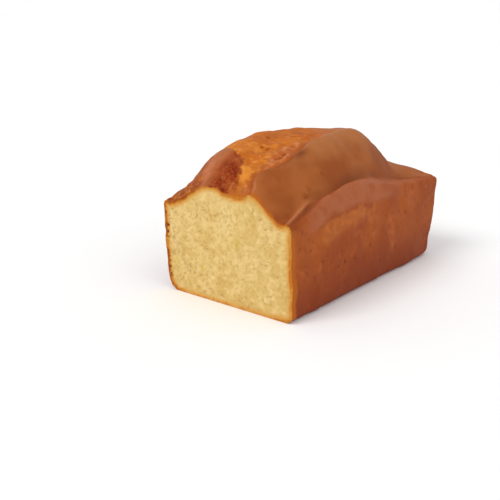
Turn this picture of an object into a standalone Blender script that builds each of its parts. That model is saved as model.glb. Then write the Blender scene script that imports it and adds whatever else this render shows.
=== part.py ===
"""Banana bread loaf, baked in a loaf tin, with its near end sliced off.

One solid. X runs across the loaf, Y along it from the cut face (-Y) to the
uncut far end (+Y), and Z up from the flat base. The origin is the middle of
the base. A block of batter the size of the tin is divided into a lattice,
its walls take the tin's taper and rounded edges, and its top rises into the
domed, cracked crown. "Behind the cut" is always the distance from the cut
face, measured along the loaf.
"""

import math

import bmesh
import bpy
from mathutils import Vector, noise

MM = 0.001

# The tin's print on the loaf
LENGTH = 196.5 * MM
RIM_WIDTH = 110 * MM
RIM_HEIGHT = 62 * MM
RIGHT_BASE_HALF = 56.8 * MM
LEFT_BASE_HALF = 52.2 * MM
END_TAPER = 2.5 * MM
UPRIGHT_CORNER_AT_RIM = 8 * MM
UPRIGHT_CORNER_AT_BASE = 18 * MM
RIGHT_BASE_ROUND = (4.5 * MM, 5.5 * MM)
LEFT_BASE_ROUND = (7 * MM, 13 * MM)
END_BASE_ROUND = (4.5 * MM, 24 * MM)

# The shoulders, where the side walls swelled up over the rim
RIGHT_SHOULDER_RISE = 15.5 * MM
LEFT_SHOULDER_RISE = 20 * MM
RIGHT_SHOULDER_AT = 66 * MM
LEFT_SHOULDER_AT = 56 * MM
RIGHT_SHOULDER_REACH = (43 * MM, 58 * MM)
LEFT_SHOULDER_REACH = (38 * MM, 60 * MM)
SHOULDER_LEAN = 5.5 * MM
ROUND_AT_RIM = 2.5 * MM
ROUND_OF_SHOULDER = 7 * MM
LEAST_RISE = 1 * MM

# The dome, given at cross-sections behind the cut: how high its crown is,
# how far out each foot reaches, and how full each flank is (2 is a parabola)
SECTION_AT = [d * MM for d in (0, 16, 36, 62, 100, 128, 148, 167, 195)]
CROWN_HEIGHT = [h * MM for h in (80, 93, 101.8, 105.8, 105, 103.8, 98.6, 78.5, 66.5)]
LEFT_FOOT = [w * MM for w in (44.5, 46.5, 47.5, 48, 48, 47, 46, 44, 42)]
RIGHT_FOOT = [w * MM for w in (44.5, 45.5, 47, 47, 46.5, 44, 40.5, 40, 43)]
LEFT_FULLNESS = (2.2, 3.4, 3.0, 3.2, 3.2, 2.4, 2.0, 2.0, 2.4)
RIGHT_FULLNESS = (2.8, 2.6, 2.6, 3.0, 3.0, 2.8, 2.3, 1.9, 2.2)
FOOT_SOFTNESS = 1.2
CREST_AT_CUT = 0.5 * MM
CREST_MIDWAY = -2.5 * MM
CREST_AT_END = 2.5 * MM
CREST_FORWARD_RUN = (0 * MM, 50 * MM)
CREST_BACKWARD_RUN = (90 * MM, 180 * MM)
END_SHELF_CROWN = 4 * MM
END_SHELF_FROM = 120 * MM

# The long crack down the crown, where golden crumb burst through the crust
CRACK_AT_CUT = 13 * MM
CRACK_MIDWAY = 6 * MM
CRACK_AT_END = -4 * MM
CRACK_MIDDLE_RUN = (0 * MM, 45 * MM, 115 * MM)
CRACK_HALF_WIDTH_AT_CUT = 4.5 * MM
CRACK_HALF_WIDTH = 13 * MM
CRACK_WANDER = 1.6 * MM
CRACK_WANDER_SIZE = 17 * MM
CRACK_FADE = (108 * MM, 152 * MM)
CRACK_DEPTH = 3.4 * MM
LIP_HEIGHT = 1.2 * MM
# The crack's banks and lip, from its middle (0) by its half width (1)
LEFT_BANK = (-1.5, -0.4)
RIGHT_BANK = (0.75, 1.45)
LIP_AT = 1.6
LIP_REACH = (0.2, 0.7)
CRUMB_RELIEF = 1.6 * MM
CRUMB_SIZE = 7 * MM

# Where the cut crosses the crack, the crust dips between the two plates
DIP_ACROSS = 3 * MM
DIP_HALF_WIDTH = 8 * MM
DIP_REACH = 7 * MM
DIP_DEPTH = 3.6 * MM

# The folded-over edge of the big crust plate, beside the right shoulder
FOLD_AT_CUT = 48.5 * MM
FOLD_MIDWAY = 43.5 * MM
FOLD_RUN = 70 * MM
FOLD_HALF_WIDTH = 2.8 * MM
FOLD_DEPTH = 2.4 * MM
FOLD_DEEPEST_AT = 76 * MM
FOLD_REACH = (62 * MM, 34 * MM)

# Blisters: across, behind the cut, radius and height
BLISTERS = [
    [size * MM for size in blister]
    for blister in (
        (-44, 8, 7, 2.6),
        (-33, 7, 6, 2.2),
        (-27, 18, 8, 2.8),
        (-17, 8, 6, 3.2),
        (-13, 19, 7, 2.6),
        (-4, 10, 6, 3.0),
        (-1, 24, 8, 1.8),
        (-37, 31, 10, 1.8),
        (-22, 36, 10, 1.6),
        (-38, 78, 15, 1.8),
        (-24, 66, 9, 1.4),
        (-20, 112, 14, 1.5),
        (-31, 140, 11, 1.6),
        (14, 128, 12, 1.4),
        (30, 118, 13, 1.0),
        (27, 152, 9, 1.2),
        (26, 84, 15, 1.0),
    )
]
CRUST_WAVE = 0.9 * MM
CRUST_WAVE_SIZE = 26 * MM
WALL_WAVE = 0.7 * MM
WALL_WAVE_SIZE = 38 * MM

# Each kind of unevenness is read from its own layer of the noise
CRUST_LAYER = 1.5
END_LAYER = 2.5
WANDER_LAYER = 3.5
SIDE_LAYER = 5.5
CRUMB_LAYER = 8.5

# The lattice
COLUMNS = 34
ROWS = 52
LEVELS = 12
EDGE_CROWDING = 0.6
FRONT_CROWDING = 1.15


def ease(value, start, end):
    """0 before start, 1 after end, and a smooth S between them."""
    t = min(max((value - start) / (end - start), 0.0), 1.0)
    return t * t * (3 - 2 * t)


def swell(value, centre, reach):
    """A smooth hump of height 1, with its own reach on each side."""
    width = reach[0] if value < centre else reach[1]
    return math.exp(-(((value - centre) / width) ** 2))


def between_sections(sizes, behind):
    """A size given at SECTION_AT, read anywhere along the loaf on a smooth curve."""
    last = len(SECTION_AT) - 1
    i = 0
    while i < last - 1 and behind > SECTION_AT[i + 1]:
        i += 1
    before, after = max(i - 1, 0), min(i + 2, last)
    span = SECTION_AT[i + 1] - SECTION_AT[i]
    t = min(max((behind - SECTION_AT[i]) / span, 0.0), 1.0)
    leave = (sizes[i + 1] - sizes[before]) / (SECTION_AT[i + 1] - SECTION_AT[before])
    arrive = (sizes[after] - sizes[i]) / (SECTION_AT[after] - SECTION_AT[i])
    return (
        (2 * t**3 - 3 * t**2 + 1) * sizes[i]
        + (t**3 - 2 * t**2 + t) * leave * span
        + (3 * t**2 - 2 * t**3) * sizes[i + 1]
        + (t**3 - t**2) * arrive * span
    )


def wave(across, behind, size, layer):
    """Smooth unevenness from -1 to 1; each layer is a different one."""
    return noise.noise(Vector((across / size, behind / size, layer)))


def shoulder_swell(side, behind):
    """0 to 1: how far the shoulder on this side (+1 right, -1 left) has risen."""
    if side > 0:
        return swell(behind, RIGHT_SHOULDER_AT, RIGHT_SHOULDER_REACH)
    return swell(behind, LEFT_SHOULDER_AT, LEFT_SHOULDER_REACH)


def shoulder_rise(side, behind):
    full = RIGHT_SHOULDER_RISE if side > 0 else LEFT_SHOULDER_RISE
    return full * shoulder_swell(side, behind)


def crest(behind):
    """Where the crown's crest lies across the loaf."""
    forward = ease(behind, *CREST_FORWARD_RUN)
    backward = ease(behind, *CREST_BACKWARD_RUN)
    return (
        CREST_AT_CUT
        + (CREST_MIDWAY - CREST_AT_CUT) * forward
        + (CREST_AT_END - CREST_MIDWAY) * backward
    )


def edge_round(side, behind):
    """Radius of the rounded edge between the side wall and the top."""
    return ROUND_AT_RIM + (ROUND_OF_SHOULDER - ROUND_AT_RIM) * shoulder_swell(
        side, behind
    )


def wall_top(side, behind):
    """Height at which the side wall ends and its rounded upper edge begins."""
    return RIM_HEIGHT + shoulder_rise(side, behind) - edge_round(side, behind)


def top_half_width(side, behind):
    """From the middle of the loaf out to the top of its side wall."""
    return wall_half_width(side, behind, wall_top(side, behind))


def round_drop(inset, radius):
    """How far a rounded edge falls below its flat top, this far in from the wall."""
    inset = min(max(inset, 0.0), radius)
    return radius - math.sqrt(radius**2 - (radius - inset) ** 2)


def dome_height(across, behind):
    """The crown before its cracks and blisters."""
    middle = crest(behind)
    side = 1 if across > middle else -1
    feet, fullness = (
        (RIGHT_FOOT, RIGHT_FULLNESS) if side > 0 else (LEFT_FOOT, LEFT_FULLNESS)
    )
    foot = between_sections(feet, behind) - side * middle
    power = between_sections(fullness, behind)
    out = min(abs(across - middle) / foot, 1.0)
    edge_out = min(
        abs(across - middle) / (top_half_width(side, behind) - side * middle), 1.0
    )
    shelf = END_SHELF_CROWN * ease(behind, END_SHELF_FROM, LENGTH)
    base = RIM_HEIGHT + shoulder_rise(side, behind) + shelf * (1 - edge_out**2)
    rise = max(between_sections(CROWN_HEIGHT, behind) - base, 0.0)
    return base + rise * (1 - out**power) ** FOOT_SOFTNESS


def crack_offset(across, behind):
    """Signed distance from the crack's middle over its half width, right positive."""
    start, halfway, end = CRACK_MIDDLE_RUN
    middle = CRACK_AT_CUT
    middle += (CRACK_MIDWAY - CRACK_AT_CUT) * ease(behind, start, halfway)
    middle += (CRACK_AT_END - CRACK_MIDWAY) * ease(behind, halfway, end)
    middle += CRACK_WANDER * wave(0, behind, CRACK_WANDER_SIZE, WANDER_LAYER)
    half_width = CRACK_HALF_WIDTH_AT_CUT
    half_width += (CRACK_HALF_WIDTH - half_width) * ease(behind, start, halfway)
    return (across - middle) / half_width


def crack_depth(across, behind):
    """The crack's bed, between a shallow left bank and the right plate's lip."""
    offset = crack_offset(across, behind)
    fade = 1 - ease(behind, *CRACK_FADE)
    left_bank = ease(offset, *LEFT_BANK)
    right_bank = 1 - ease(offset, *RIGHT_BANK)
    crumbs = CRUMB_RELIEF * wave(across, behind, CRUMB_SIZE, CRUMB_LAYER)
    bed = left_bank * right_bank * (CRACK_DEPTH - crumbs)
    lip = LIP_HEIGHT * swell(offset, LIP_AT, LIP_REACH)
    return (bed - lip) * fade


def dip_depth(across, behind):
    """The notch in the crust where the cut crosses the crack."""
    nearness = math.exp(-((behind / DIP_REACH) ** 2))
    return DIP_DEPTH * nearness * swell(across, DIP_ACROSS, (DIP_HALF_WIDTH,) * 2)


def fold_depth(across, behind):
    """The groove between the right shoulder and the plate that folds over it."""
    middle = FOLD_AT_CUT + (FOLD_MIDWAY - FOLD_AT_CUT) * ease(behind, 0, FOLD_RUN)
    nearness = swell(across, middle, (FOLD_HALF_WIDTH,) * 2)
    return FOLD_DEPTH * swell(behind, FOLD_DEEPEST_AT, FOLD_REACH) * nearness


def blister_height(across, behind):
    total = 0.0
    for at, distance, radius, height in BLISTERS:
        reach = math.hypot(across - at, behind - distance) / radius
        total += height * math.exp(-(reach**2))
    return total


def top_height(across, behind):
    """The finished top surface, out to the shoulders' rounded edges."""
    side = 1 if across > 0 else -1
    inset = top_half_width(side, behind) - abs(across)
    radius = edge_round(side, behind)
    relief = (
        CRUST_WAVE * wave(across, behind, CRUST_WAVE_SIZE, CRUST_LAYER)
        + blister_height(across, behind)
        - crack_depth(across, behind)
        - dip_depth(across, behind)
        - fold_depth(across, behind)
    )
    settled = ease(min(inset, LENGTH - behind), 0, radius)
    drop = round_drop(inset, radius) + round_drop(LENGTH - behind, ROUND_AT_RIM)
    return dome_height(across, behind) - drop + relief * settled


def base_inset(height, rounding):
    """How far the rounded lower edge, (in, up), draws the wall in at this height."""
    round_in, round_up = rounding
    low = min(height / round_up, 1.0)
    return round_in * (1 - math.sqrt(1 - (1 - low) ** 2))


def wall_half_width(side, behind, height):
    """From the middle of the loaf out to its side wall."""
    up = min(height / RIM_HEIGHT, 1.0)
    base_half = RIGHT_BASE_HALF if side > 0 else LEFT_BASE_HALF
    half = base_half + (RIM_WIDTH / 2 - base_half) * up
    over = max(height - RIM_HEIGHT, 0.0)
    rise = max(shoulder_rise(side, behind), LEAST_RISE)
    half -= SHOULDER_LEAN * shoulder_swell(side, behind) * min(over / rise, 1.0) ** 2
    half += WALL_WAVE * wave(height, behind, WALL_WAVE_SIZE, SIDE_LAYER * side)
    rounding = RIGHT_BASE_ROUND if side > 0 else LEFT_BASE_ROUND
    return half - base_inset(height, rounding)


def wall_length(across, height):
    """From the cut face back to the far end's wall."""
    up = min(height / RIM_HEIGHT, 1.0)
    length = LENGTH - END_TAPER * (1 - up) - base_inset(height, END_BASE_ROUND)
    dent = (1 + wave(across, height, WALL_WAVE_SIZE, END_LAYER)) / 2
    return length - WALL_WAVE * dent


def crowded(share):
    """-1 to 1 onto -1 to 1, with the steps drawn closer towards both ends."""
    return (1 - EDGE_CROWDING) * share + EDGE_CROWDING * math.sin(
        share * math.pi / 2
    )


def lattice():
    """A unit block on its base, divided by evenly spaced planes each way."""
    mesh = bmesh.new()
    bmesh.ops.create_cube(mesh, size=1.0)
    bmesh.ops.translate(mesh, verts=mesh.verts, vec=(0, 0, 0.5))
    for axis, count in ((0, COLUMNS), (1, ROWS), (2, LEVELS)):
        normal = Vector((0, 0, 0))
        normal[axis] = 1
        start = 0.0 if axis == 2 else -0.5
        for i in range(1, count):
            bmesh.ops.bisect_plane(
                mesh,
                geom=mesh.verts[:] + mesh.edges[:] + mesh.faces[:],
                dist=1e-6,
                plane_co=normal * (start + i / count),
                plane_no=normal,
            )
    return mesh


def upright_corner(across, behind, half, length, radius):
    """Rounds the far end's two upright corners in plan."""
    over_x = abs(across) - (half - radius)
    over_y = behind - (length - radius)
    if over_x <= 0 or over_y <= 0:
        return across, behind
    pull = max(over_x, over_y) / math.hypot(over_x, over_y)
    across = math.copysign(half - radius + over_x * pull, across)
    return across, length - radius + over_y * pull


def baked(share_x, share_y, share_z):
    """Where a lattice point ends up: shares are -1..1 across, 0..1 back and up."""
    side = 1 if share_x > 0 else -1
    across_share = crowded(share_x)
    behind_share = 1 - (1 - share_y) ** FRONT_CROWDING
    level = (crowded(2 * share_z - 1) + 1) / 2
    behind = behind_share * LENGTH
    height = level * wall_top(side, behind)
    half = wall_half_width(side, behind, height)
    length = wall_length(across_share * half, height)
    corner = UPRIGHT_CORNER_AT_BASE
    corner += (UPRIGHT_CORNER_AT_RIM - UPRIGHT_CORNER_AT_BASE) * ease(level, 0, 1)
    across, behind = upright_corner(
        across_share * half, behind_share * length, half, length, corner
    )
    if share_z == 1:
        edge = top_half_width(side, behind)
        across *= edge / half
        height = top_height(across, behind)
    return Vector((across, behind - LENGTH / 2, height))


def stand_on_origin(mesh):
    """Puts the middle of the base of the loaf's box at the origin."""
    sizes = [[vertex.co[axis] for vertex in mesh.verts] for axis in range(3)]
    middle = [(min(size) + max(size)) / 2 for size in sizes]
    shift = Vector((-middle[0], -middle[1], -min(sizes[2])))
    bmesh.ops.translate(mesh, verts=mesh.verts, vec=shift)


def loaf_mesh():
    mesh = lattice()
    for vertex in mesh.verts:
        x, y, z = vertex.co
        vertex.co = baked(2 * x, y + 0.5, z)
    stand_on_origin(mesh)
    bmesh.ops.triangulate(mesh, faces=mesh.faces[:])
    bmesh.ops.recalc_face_normals(mesh, faces=mesh.faces[:])
    return mesh


def crust_material():
    material = bpy.data.materials.new("crust")
    material.use_nodes = True
    surface = material.node_tree.nodes["Principled BSDF"]
    surface.inputs["Base Color"].default_value = (0.33, 0.10, 0.03, 1)
    surface.inputs["Roughness"].default_value = 0.6
    surface.inputs["Metallic"].default_value = 0.0
    return material


def clear_scene():
    for item in list(bpy.data.objects):
        bpy.data.objects.remove(item, do_unlink=True)


def make_loaf():
    mesh = loaf_mesh()
    data = bpy.data.meshes.new("loaf")
    mesh.to_mesh(data)
    mesh.free()
    data.materials.append(crust_material())
    data.shade_smooth()
    loaf = bpy.data.objects.new("loaf", data)
    bpy.context.scene.collection.objects.link(loaf)


clear_scene()
make_loaf()
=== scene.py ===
import math
import random

import bmesh
import bpy
import numpy as np
from mathutils import Matrix, Vector, kdtree, noise


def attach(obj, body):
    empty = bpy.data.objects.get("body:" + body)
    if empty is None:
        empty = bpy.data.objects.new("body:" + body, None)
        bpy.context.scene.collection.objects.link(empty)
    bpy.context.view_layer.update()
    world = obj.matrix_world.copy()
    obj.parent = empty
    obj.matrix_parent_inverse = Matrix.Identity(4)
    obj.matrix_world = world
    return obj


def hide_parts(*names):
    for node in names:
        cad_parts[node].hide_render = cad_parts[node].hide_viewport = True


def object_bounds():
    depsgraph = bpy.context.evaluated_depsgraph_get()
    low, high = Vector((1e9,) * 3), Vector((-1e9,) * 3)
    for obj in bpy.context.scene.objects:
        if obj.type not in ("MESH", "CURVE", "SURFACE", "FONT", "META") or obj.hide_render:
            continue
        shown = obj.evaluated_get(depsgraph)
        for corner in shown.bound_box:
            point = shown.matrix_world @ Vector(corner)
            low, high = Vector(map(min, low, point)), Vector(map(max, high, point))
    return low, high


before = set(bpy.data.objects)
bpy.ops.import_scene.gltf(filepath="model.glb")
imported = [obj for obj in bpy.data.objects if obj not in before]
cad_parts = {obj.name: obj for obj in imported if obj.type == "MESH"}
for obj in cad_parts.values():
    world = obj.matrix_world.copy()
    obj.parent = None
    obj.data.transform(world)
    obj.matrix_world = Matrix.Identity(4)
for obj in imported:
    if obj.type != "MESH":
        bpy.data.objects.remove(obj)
CAD_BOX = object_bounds()

MM = 0.001

# Places on the loaf are given in millimetres: across from the tin's middle line, behind the cut, and height.
# A fade is where a soft step starts and ends. A swell is its strength, its middle and its reach. A spot is
# its strength, its place across, its place behind the cut, and its reach each way.
TIN_MIDDLE = -0.875
CUT_AT = CAD_BOX[0][1] / MM

# How fine the mesh is: the longest edge left on each part of the loaf.
LONGEST_ON_CUT = 0.72
LONGEST_ON_CRUST = 1.9
LONGEST_ON_DETAIL = 1.3
LONGEST_ON_BASE = 9.0
REFINING_ROUNDS = 6
# The crust's detail lies beside the cut, round the crack and along the fold's lip.
DETAIL_BESIDE_CUT = 6
CRACK_DETAIL_ABOVE = 70
CRACK_DETAIL_LENGTH = 80
CRACK_DETAIL_ACROSS = (-26, 30)
LIP_DETAIL_ABOVE = 60
LIP_DETAIL_LENGTH = 45
LIP_DETAIL_REACH = 5
# A face this close to the plane of the cut or the base lies in it.
FLAT_ENOUGH = 0.05
MERGE_WITHIN = 0.001
SMOOTHING_ROUNDS = 7
SMOOTHING_FACTOR = 0.5
# How far into the cut the crumb follows the crust's relief, and how evenly.
RIM_PULL = 7.0
RIM_NEIGHBOURS = 7
RIM_NEARNESS = 0.2
RIM_SMOOTHING_ROUNDS = 2
CUT_SMOOTHING_ROUNDS = 12

# The golden crack: its two edges, by how far behind the cut they are, and their fades.
CRACK_RIGHT_BEHIND = (0, 4, 10, 17, 26, 34, 43, 58, 63, 67, 74, 100, 140)
CRACK_RIGHT_EDGE = (17, 13.5, 11, 12.4, 13.5, 11, 9.5, 10.6, 15, 21, 21.5, 10, 5)
CRACK_LEFT_BEHIND = (0, 4, 8, 14, 20, 24, 27, 31, 80, 140)
CRACK_LEFT_EDGE = (6, 8, 7.8, 5.7, 1.0, -6, -14, -27, -26, -18)
CRACK_LEFT_FADE = (-6, 4.5)
CRACK_RIGHT_FADE = (-2.5, 4)
CRACK_END_FADE = (88, 140)
# The crumbs in the crack turn from yellow to orange along it.
ORANGE_BEHIND = (0, 25, 60, 90)
ORANGE_SHARES = (0.0, 0.3, 0.8, 1.0)

# The torn edge of the right plate, which stands over the pale bank between it and the crack.
PLATE_EDGE_BEHIND = (0, 5, 8, 11.5, 16, 19.3, 26, 32, 39, 46, 52, 60, 90)
PLATE_EDGE = (22.5, 21.3, 18.5, 16.4, 16.2, 19.6, 25, 26, 26.3, 24.8, 24, 21.6, 20)
PLATE_END_FADE = (54, 78)
PLATE_EDGE_HEIGHT = 0.8
PLATE_EDGE_RISE = (-0.8, 0.8)
PLATE_EDGE_FALL = (2, 12)
SUNK_BY_PLATE = (1.0, -2.0, 2.2)
BANK_LEFT_FADE = (-2.0, 3.5)
BANK_RIGHT_FADE = (-1.0, 0.8)
# The dark line in the shadow of that edge, which darkens away from the cut, and the hollow it ends in.
PLATE_SHADOW_LINE = (1.0, -0.9, 1.4)
PLATE_SHADOW_LEAST = 0.2
PLATE_SHADOW_MORE = 0.35
PLATE_SHADOW_DARKENS = (10, 26)
PLATE_HOLLOW = (0.75, 27, 47, 2.4, 7)

# The red-brown lobes left of the crack, their darkest part, and the pinkish places on and beside them: pink
# colour on the outer lobes and the plate's edge, and painted highlights on the ridges of the dark lobes.
LOBE_LEFT_FADE = (-17, -9)
LOBE_RIGHT_FADE = (-1, 4)
LOBE_END_FADE = (22, 40)
LOBE_BY_CUT = (0.8, -30, 4, 9, 4)
EMBER_STRENGTH = 0.95
EMBER_LEFT_FADE = (-15, -4)
EMBER_END_FADE = (10, 24)
EMBER_SPOTS = ((0.7, -6, 23, 4, 8), (1.0, -6, 2, 11, 4))
BLUSH_AND_HIGHLIGHT_SPOTS = ((1.0, -20, 7, 6, 9), (0.5, -22, 20, 7, 9), (0.8, -12, 17.5, 2.5, 5),
               (0.9, -0.5, 3.2, 1.2, 3.5), (0.7, -11, 2.2, 1.3, 3))
BLUSH_ON_PLATE = (0.6, 1.2, 1.6)
BLUSH_ON_PLATE_FADE = (9, 17)

# The line where the right plate folds over the shoulder. Near the cut the plate's lip lies over the
# shoulder, and after the turn the shoulder's lip stands over a groove.
FOLD_BEHIND = (0, 3.6, 10.5, 17.8, 28, 35, 40, 48, 56, 66, 86, 106, 115, 149, 167, 182, 193)
FOLD_LINE = (51.3, 50.6, 48.4, 46.8, 46, 46.2, 47.6, 49.4, 49.2, 48.2, 45.8, 43.3, 43.3, 40.5, 43.7,
             48.6, 50)
FOLD_TURN = (26, 46)
FOLD_ACROSS_FADE = (20, 34)
PLATE_LIP_HEIGHT = 0.8
PLATE_LIP_RISE = (-4, -1.0)
PLATE_LIP_FALL = (-0.5, 0.8)
PLATE_LIP_FOOT = (0.5, 1.8, 1.6)
SHOULDER_LIP = (0.6, 2.4, 1.7)
SHOULDER_LIP_END_FADE = (112, 146)
GROOVE_DEPTH = 1.2
GROOVE_LEFT = (-6, -0.4)
GROOVE_RIGHT = (-0.4, 1.3)
FAR_CREASE = (0.7, 0, 1.2)
FAR_CREASE_FADE = (138, 156)
FOLD_SHADOW = 0.5
LIP_SHADOW_LEFT = (-0.3, 0.9)
LIP_SHADOW_RIGHT = (2, 8)
GROOVE_SHADOW_LEFT = (-6, -1.5)
GROOVE_SHADOW_RIGHT = (-0.5, 1.2)
GROOVE_SHADOW_END_FADE = (92, 128)
FAR_CREASE_SHADOW = (0.3, 0, 1.4)
FOLD_SHADOW_HEIGHT_FADE = (54, 61)
# Painted highlight along the plate's lip where it lies over the shoulder near the cut.
LIP_HIGHLIGHT = (1.0, -0.8, 1.0)
LIP_HIGHLIGHT_START_FADE = (0, 4)
LIP_HIGHLIGHT_END_FADE = (18, 38)
# Right of the fold the crust takes the walls' colour.
PLATE_RIGHT_FADE = (-0.6, 1.6)

# The orange smear on the right wall, and the band of the shoulder over it, painted paler as a sheen.
PATCH_LOWER_BEHIND = (28, 48, 72, 93)
PATCH_LOWER_EDGE = (41, 44, 46.5, 52)
PATCH_UPPER_BEHIND = (28, 42, 67, 77, 95)
PATCH_UPPER_EDGE = (55, 59.5, 61, 61.6, 56)
PATCH_LOWER_FADE = (-5, 9)
PATCH_UPPER_FADE = (-2.5, 1.5)
PATCH_START_FADE = (22, 40)
PATCH_END_FADE = (80, 98)
PATCH_HEIGHT = 0.6
SHOULDER_BEHIND = (0, 28, 42, 67, 77, 95, 115, 150)
SHOULDER_LOWER_EDGE = (52, 55, 60, 62, 62.5, 60, 59, 58)
SHOULDER_LOWER_FADE = (-2, 3)
SHOULDER_FOLD_FADE = (0.2, 3.0)
SHOULDER_START_FADE = (12, 30)
SHOULDER_END_FADE = (96, 150)

# The crust beside the cut: orange, wider on the right wall and faint left of the crack, and torn and
# crumbly at the cut's upper left. The places to the left are measured leftwards.
BESIDE_CUT_FADE = (0.2, 2.8)
BESIDE_CUT_ON_WALL_FADE = (1.5, 6.5)
BESIDE_CUT_FAINTNESS = 0.9
FAINT_TO_LEFT = (-11, -3)
TORN_TO_LEFT = (15, 24)
TORN_END_FADE = (2, 10)
TORN_ABOVE = (56, 62)

# How steep the crust may be and still count as the loaf's top, by the upward part of its normal.
TOP_SLOPE = (0.1, 0.45)

# The far end's slope and shelf have sunk, and its foot is drawn in.
FAR_SLOPE_SINKS = (1.5, 147, 5)
FAR_SLOPE_ABOVE = (68, 76)
SHELF_SINKS = 0.3
SHELF_FADE = (176, 190)
SHELF_ABOVE = (35, 60)
FOOT_DRAWN_IN = (1.3, 13, 10)
FOOT_FADE = (150, 176)

# Random relief: how far it stands out, the size of its lumps, and the layer of noise it is drawn from.
LAYER_RISE = 2.3
ALL_CRUST = ((0.14, 3.0, 1), (0.4, 12, 2))
CRACK_CRUMBS = ((1.3, 11.0, 3), (1.0, 5.5, 4), (0.25, 2.4, 5))
CRACK_CRUMBS_SUNK = 0.3
CRACK_CRUMBS_LEAST = 0.35
CRACK_CRUMBS_FADE = (-16, 3)
BANK_LUMPS = ((1.0, 8.0, 14), (0.5, 4.2, 15))
BANK_SUNK = 0.2
LOBE_RIDGES = (3.0, 11.0, 6)
LOBE_LUMPS = ((1.4, 6.0, 7),)
LOBE_SUNK = 0.9
SMALL_RIDGES = (1.5, 5.0, 18)
SMALL_LUMPS = ((0.8, 3.0, 19),)
SMALL_LUMPS_SUNK = 0.4
WALL_PEBBLES = ((0.22, 4.6, 8), (0.7, 15, 16))
WALL_PITS = (0.5, 3.2, 9)
WALL_PITS_OVER = 0.38
# Bites out of the torn crust left of the cut, which are long along the loaf.
BITES = (2.6, 3.6, 10)
BITES_UNDER = 0.12
BITES_LENGTH = 0.5
BITES_ALL = 0.1
BITES_END_FADE = (3, 18)
BITES_TO_LEFT = (20, 46)
BITES_LEAST = 0.45
BITES_ABOVE = (54, 64)
# Nicks in the crust's edge where the knife went through.
NICKS = (0.55, 2.2, 11)
NICKS_FADE = (0, 5)

# Pits in the crack's crest: across, behind and reach. Pinholes in the right wall: behind, height and reach.
# Both are sunk into the crust and darkened with painted shade.
PIT_DEPTH = 2.0
PITS_ON_CREST = ((18.5, 37, 1.1), (18.7, 40.5, 1.3), (16.9, 34.2, 0.9),
                 (-8.7, 57.7, 1.2), (3.3, 42.5, 1.0), (-1.6, 42.3, 0.9))
MARK_DEPTH = 0.7
MARK_DARKNESS = 0.6
MARKS_ON_SIDE = ((59, 26, 1.6), (51.5, 24.5, 1.1), (71, 25.6, 1.2), (91, 30, 1.2), (126, 21, 1.1),
                 (104, 15.6, 1.3), (9, 47, 1.1), (19, 50.6, 1.1), (33, 33, 0.9), (140, 44, 1.2),
                 (160, 33, 1.0), (112, 47, 0.8))

# The golden band under the crust reaches this far into the cut, and further in some places.
BAND_LEAST = 0.5
BAND_RIGHT = 1.3
BAND_RIGHT_FADE = (36, 48)
BAND_RIGHT_THINS = 0.5
BAND_RIGHT_THINS_ABOVE = (52, 62)
BAND_IN_DIP = (1.7, 7, 14)
BAND_IN_DIP_ABOVE = (50, 70)
BAND_UPPER_LEFT = (2.6, -36, 12)
BAND_UPPER_LEFT_ABOVE = (50, 60)
BAND_LEFT = 1.5
BAND_LEFT_FADE = (40, 49)
# The dark skin over the band shows on the cut's left and at its foot.
SKIN_TO_LEFT = (12, 26)
SKIN_ABOVE_BASE = (1, 6)
# Painted shade: the crumb darkens toward the cut's right side and its foot.
DIM_RIGHT = 0.7
DIM_RIGHT_FADE = (0, 40)
DIM_LOW = 0.6
DIM_LOW_FADE = (6, 40)
# Flecks of fruit in the cut: strength, across, height, reach across and reach up.
FRUIT_FLECKS = ((0.9, -19.5, 21, 1.1, 2.0), (0.35, 11.7, 45, 3.5, 2.5), (0.3, -42, 22, 1.5, 2.5),
                (0.3, 24, 16, 3, 2))

# Pores in the cut: some are long faint strands and the rest are round. They lean together in swirls and
# crowd together low down and at the cut's left.
PORE_SEED = 11
PORE_COUNT = 2400
PORE_ACROSS = (-58, 58)
PORE_HEIGHTS = (0, 92)
PORE_LEAN = 0.5
PORE_SWIRLS = ((2.2, 26, 12),)
PORE_LEAN_SPREAD = 0.45
STRAND_SHARE = 0.6
STRAND_LENGTHS = (1.0, 2.6)
STRAND_WIDTHS = (0.5, 0.85)
STRAND_DEPTHS = (0.2, 0.65)
ROUND_LENGTH = 0.7
ROUND_LENGTH_MORE = 0.7
ROUND_WIDTH = 0.6
ROUND_WIDTH_MORE = 0.4
ROUND_DEPTHS = (0.1, 0.35)
ROUND_DEPTH_MORE = 0.4
CROWD_LEAST = 0.08
CROWD_PATCHES = ((0.9, 14, 17),)
CROWD_LOW = 0.4
CROWD_LOW_UNDER = 60
CROWD_LEFT = (0.5, -46, 32, 6, 18)
PORE_FAR_REACH = 2.4
PORE_DEPTH = 0.7
PORE_RIM_FADE = (0, 1)
# Browned bubbles along the cut's left edge, which runs through these places.
BUBBLE_HEIGHTS = (5, 60, 4)
BUBBLE_HEIGHT_SPREAD = (-2, 2)
BUBBLE_INSETS = (1.4, 3.0)
BUBBLE_LENGTHS = (0.5, 1.5)
BUBBLE_WIDTHS = (0.6, 1.2)
BUBBLE_DEPTHS = (0.5, 1.2)
LEFT_RIM_HEIGHTS = (2, 8, 20, 62)
LEFT_RIM = (-49.6, -51.6, -53.2, -54.9)
# The cut's own unevenness.
CUT_SUNK = 0.12
CUT_WAVES = (0.3, 6, 13)
CUT_WAVES_FADE = (0, 3)

# What is stored at each vertex for the finishes to read.
SHARES = ("golden", "orange", "bank", "lobe", "ember", "relief", "blush_and_highlight", "patch", "shoulder", "shadow",
          "lip", "top", "height", "near_cut", "torn", "from_crust", "band", "dry_rim", "pore", "fruit",
          "crumb_shade")


def ease(value, start, end):
    """A soft step from 0 at start to 1 at end."""
    share = min(max((value - start) / (end - start), 0.0), 1.0)
    return share * share * (3 - 2 * share)


def fall(value, start, end):
    """A soft step from 1 at start to 0 at end."""
    return 1 - ease(value, start, end)


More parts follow.
